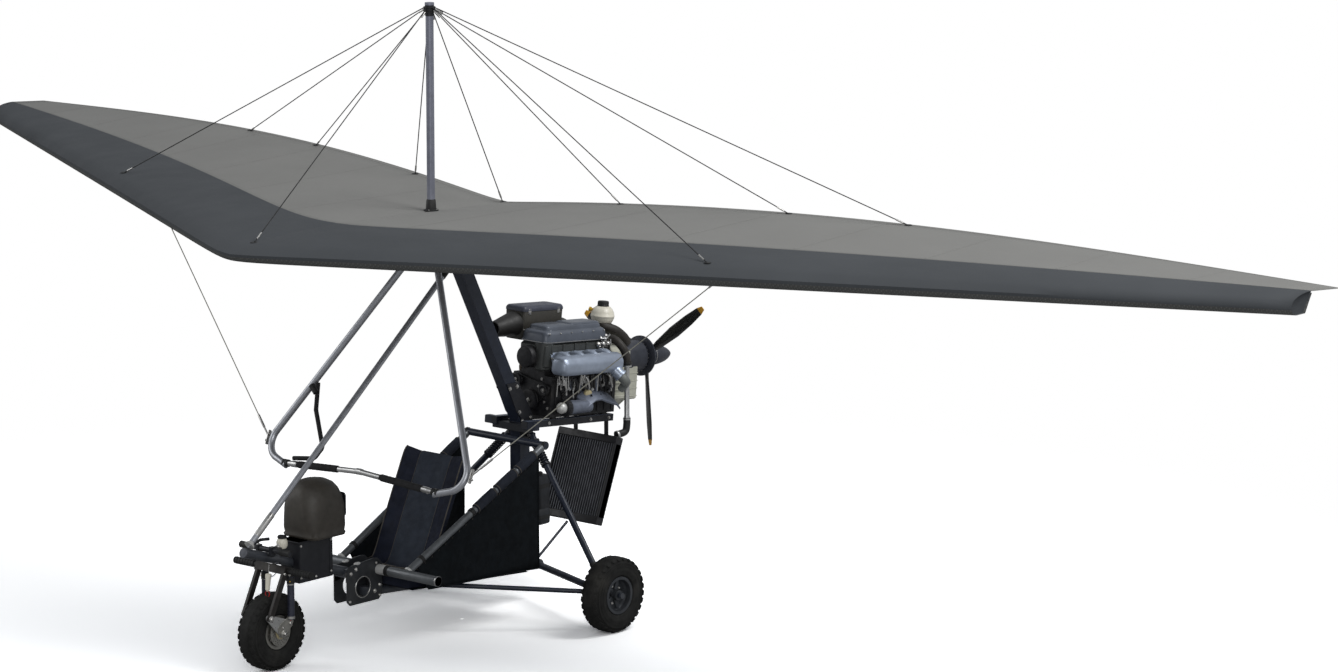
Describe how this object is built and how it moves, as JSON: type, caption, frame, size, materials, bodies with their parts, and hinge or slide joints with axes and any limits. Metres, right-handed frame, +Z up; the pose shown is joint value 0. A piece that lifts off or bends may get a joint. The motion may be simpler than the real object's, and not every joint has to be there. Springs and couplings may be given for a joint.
{
  "type": "flex-wing microlight aircraft",
  "caption": "Flex-wing microlight: open tricycle with seat, pod, rear engine and pusher propeller under a kingposted delta wing that pitches and rolls on its hang block.",
  "frame": {"origin": "centre of the aircraft's plan outline, on the ground under the wheels", "axes": "+X to port (the pilot's left), nose towards -Y, +Z up"},
  "size_m": [10.06, 3.6391, 3.5957],
  "materials": {
    "sail": "woven sailcloth",
    "keel_alloy": "anodised",
    "kingpost_alloy": "anodised",
    "strut_alloy": "satin",
    "bare_alloy": "satin",
    "frame_navy": "semi-gloss",
    "frame_black": "semi-gloss",
    "frame_grey": "semi-gloss",
    "plate_grey": "satin",
    "tube_grey": "semi-gloss",
    "padding": "padded cloth",
    "seat_cloth": "woven",
    "panel_cloth": "woven",
    "pod_shell": "textured",
    "engine_dark": "cast, painted",
    "engine_grey": "cast and painted",
    "engine_silver": "cast",
    "airbox_black": "moulded",
    "cream_plastic": "translucent moulded",
    "cream_metal": "cast and painted",
    "radiator_black": "matt",
    "tank_black": "moulded",
    "spring_steel": "semi-gloss",
    "block_dark": "satin",
    "stay_dark": "coated wire",
    "stay_light": "stranded wire",
    "foam": "foam",
    "fork_brown": "satin",
    "bar_black": "moulded",
    "damper_blue": "semi-gloss",
    "rim_alloy": "cast",
    "rim_grey": "satin",
    "tyre": "rubber",
    "hub_black": "satin",
    "blade_black": "lacquered composite"
  },
  "bodies": {
    "trike": {"front_strut": "strut_alloy", "pylon": "frame_navy", "pylon_plates": "frame_black", "main_beam": "frame_grey", "nose_plates": "plate_grey", "foot_tube": "tube_grey", "side_tubes": "tube_grey", "side_pads": "padding", "seat_cross_tubes": "frame_navy", "seat": "seat_cloth", "cockpit_floor": "panel_cloth", "side_panels": "panel_cloth", "instrument_pod": "pod_shell", "pod_stand": "frame_black", "brake_bar": "frame_black", "engine_rails": "frame_black", "crankcase": "engine_dark", "valve_cover": "engine_grey", "intake_plenum": "engine_silver", "airbox": "airbox_black", "coolant_tank": "cream_plastic", "gearbox": "cream_metal", "coolant_pipe": "bare_alloy", "radiator": "radiator_black", "fuel_tank": "tank_black", "rear_bracing": "frame_navy", "gear_legs": "frame_navy", "gear_springs": "spring_steel", "axle_tubes": "frame_navy"},
    "hang_link": {"hang_block": "block_dark"},
    "wing": {"wing_sail": "sail", "keel_tube": "keel_alloy", "cross_bars": "frame_grey", "kingpost": "kingpost_alloy", "upper_stays": "stay_dark", "lower_stays": "stay_light", "downtubes": "strut_alloy", "base_bar": "bare_alloy", "grips": "foam", "grab_bar": "foam"},
    "nose_fork": {"fork": "fork_brown", "steering_bar": "bar_black", "trailing_arms": "bare_alloy", "nose_dampers": "damper_blue"},
    "nose_wheel_set": {"nose_wheel": "rim_alloy", "nose_tyre": "tyre"},
    "main_wheel_port": {"wheel_port": "rim_grey", "tyre_port": "tyre"},
    "main_wheel_starboard": {"wheel_starboard": "rim_grey", "tyre_starboard": "tyre"},
    "propeller": {"prop_hub": "hub_black", "prop_blades": "blade_black"}
  },
  "joints": [
    {"name": "wing_pitch", "type": "hinge", "parent": "trike", "child": "hang_link", "pos_m": [0, -0.038, 2.15], "axis": [1, 0, 0], "range_deg": [-11, 15]},
    {"name": "wing_roll", "type": "hinge", "parent": "hang_link", "child": "wing", "pos_m": [0, -0.038, 2.215], "axis": [0, 1, 0], "range_deg": [-20, 20]},
    {"name": "nose_steering", "type": "hinge", "parent": "trike", "child": "nose_fork", "pos_m": [0, -1.52, 0.573], "axis": [0, 0.3256, 0.9455], "range_deg": [-30, 30]},
    {"name": "nose_wheel_spin", "type": "hinge", "parent": "nose_fork", "child": "nose_wheel_set", "pos_m": [0, -1.543, 0.218], "axis": [1, 0, 0], "continuous": true},
    {"name": "main_wheel_port_spin", "type": "hinge", "parent": "trike", "child": "main_wheel_port", "pos_m": [0.85, 0.347, 0.218], "axis": [1, 0, 0], "continuous": true},
    {"name": "main_wheel_starboard_spin", "type": "hinge", "parent": "trike", "child": "main_wheel_starboard", "pos_m": [-0.85, 0.347, 0.218], "axis": [1, 0, 0], "continuous": true},
    {"name": "propeller_spin", "type": "hinge", "parent": "trike", "child": "propeller", "pos_m": [0, 1.602, 1.307], "axis": [0, 0.9957, -0.0924], "continuous": true}
  ]
}
